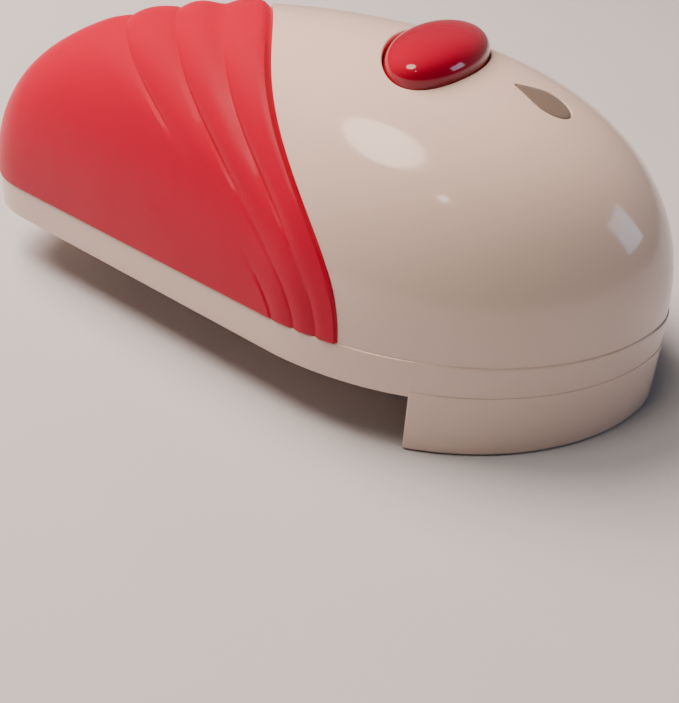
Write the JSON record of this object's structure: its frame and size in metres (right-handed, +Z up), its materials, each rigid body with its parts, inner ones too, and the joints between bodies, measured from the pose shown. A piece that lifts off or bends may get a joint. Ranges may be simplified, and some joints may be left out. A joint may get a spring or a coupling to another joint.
{
  "type": "hands-free electric can opener",
  "caption": "Battery can opener with a domed white shell, red textured handle cover, red oval push button, teardrop indicator and a skirt over the cutting head.",
  "frame": {"origin": "middle of the body in plan, at the height of the skirt's lower edge", "axes": "+X from the tail to the nose, +Y to the left, +Z up"},
  "size_m": [0.1314, 0.074, 0.0566],
  "materials": {
    "white_shell": "gloss",
    "white_skirt": "gloss",
    "red_cover": "satin, fine texture",
    "red_button": "gloss",
    "smoke_lens": "gloss",
    "board": "satin",
    "black_plastic": "satin",
    "led_plastic": "gloss",
    "cell_jacket": "satin",
    "nickel": "bright",
    "steel": "machined",
    "plate_steel": "zinc plated",
    "hard_steel": "bright",
    "gear_plastic": "satin",
    "brass": "machined",
    "magnet": "nickel plated",
    "copper": "satin",
    "lead_jacket": "matt"
  },
  "bodies": {
    "housing": {"upper_shell": "white_shell", "handle_cover": "red_cover", "indicator_lens": "smoke_lens", "lower_shell": "white_shell", "head_skirt": "white_skirt", "housing_screws": "steel", "circuit_board": "board", "board_posts": "brass", "board_screws": "steel", "tact_switch": "black_plastic", "indicator_led": "led_plastic", "battery_cells": "cell_jacket", "battery_contacts": "nickel", "battery_spring": "nickel", "gear_axles": "steel", "gearbox_plate_lower": "plate_steel", "gearbox_plate_upper": "plate_steel", "gearbox_pillars": "steel", "gearbox_screws": "steel", "motor_can": "plate_steel", "motor_end_cap": "black_plastic", "drive_bushes": "brass", "spindle_bush": "brass", "magnet_holder": "black_plastic", "lid_magnet": "magnet", "base_plate": "plate_steel", "base_plate_screws": "steel", "battery_leads": "lead_jacket"},
    "door": {"battery_door": "white_shell"},
    "button": {"push_button": "red_button", "button_spring": "steel"},
    "rotor": {"motor_shaft": "steel", "motor_armature": "copper", "motor_pinion": "brass"},
    "first_compound": {"first_gear": "gear_plastic"},
    "second_compound": {"second_gear": "gear_plastic"},
    "drive": {"output_gear": "gear_plastic", "drive_shaft": "steel", "drive_circlip": "steel", "clutch_washers": "steel", "drive_wheel": "hard_steel", "drive_wheel_screw": "steel"},
    "clutch": {"clutch_gear": "gear_plastic"},
    "spindle": {"cutter_spindle": "steel", "cutter_screw": "steel"},
    "cutter": {"cutter_wheel": "hard_steel"}
  },
  "joints": [
    {"name": "door_lift", "type": "slide", "parent": "housing", "child": "door", "axis": [0, 0, -1], "range_m": [0, 0.012]},
    {"name": "button_press", "type": "slide", "parent": "housing", "child": "button", "axis": [0, 0, 1], "range_m": [-0.0015, 0], "stiffness_N_per_m": 400, "springref_m": 0.001, "deforming": ["button_spring"]},
    {"name": "drive_spin", "type": "hinge", "parent": "housing", "child": "drive", "pos_m": [0.028, 0, 0.015], "axis": [0, 0, 1], "continuous": true},
    {"name": "second_spin", "type": "hinge", "parent": "housing", "child": "second_compound", "pos_m": [0.02472, 0.01892, 0.02], "axis": [0, 0, 1], "continuous": true},
    {"name": "first_spin", "type": "hinge", "parent": "housing", "child": "first_compound", "pos_m": [0.01051, 0.01414, 0.02], "axis": [0, 0, 1], "continuous": true},
    {"name": "motor_spin", "type": "hinge", "parent": "housing", "child": "rotor", "pos_m": [0.0055, 0, 0.03], "axis": [0, 0, 1], "continuous": true},
    {"name": "spindle_swing", "type": "hinge", "parent": "housing", "child": "spindle", "pos_m": [0.044, 0, 0.012], "axis": [0, 0, 1], "range_deg": [0, 150]},
    {"name": "clutch_turn", "type": "hinge", "parent": "housing", "child": "clutch", "pos_m": [0.028, 0, 0.015], "axis": [0, 0, 1], "range_deg": [-150, 0]},
    {"name": "cutter_spin", "type": "hinge", "parent": "spindle", "child": "cutter", "pos_m": [0.046, 0, 0.0065], "axis": [0, 0, 1], "continuous": true}
  ],
  "couplings": [
    {"joint": "second_spin", "follows": "drive_spin", "ratio": -3},
    {"joint": "first_spin", "follows": "drive_spin", "ratio": 12},
    {"joint": "motor_spin", "follows": "drive_spin", "ratio": -60},
    {"joint": "clutch_turn", "follows": "spindle_swing", "ratio": -1}
  ]
}
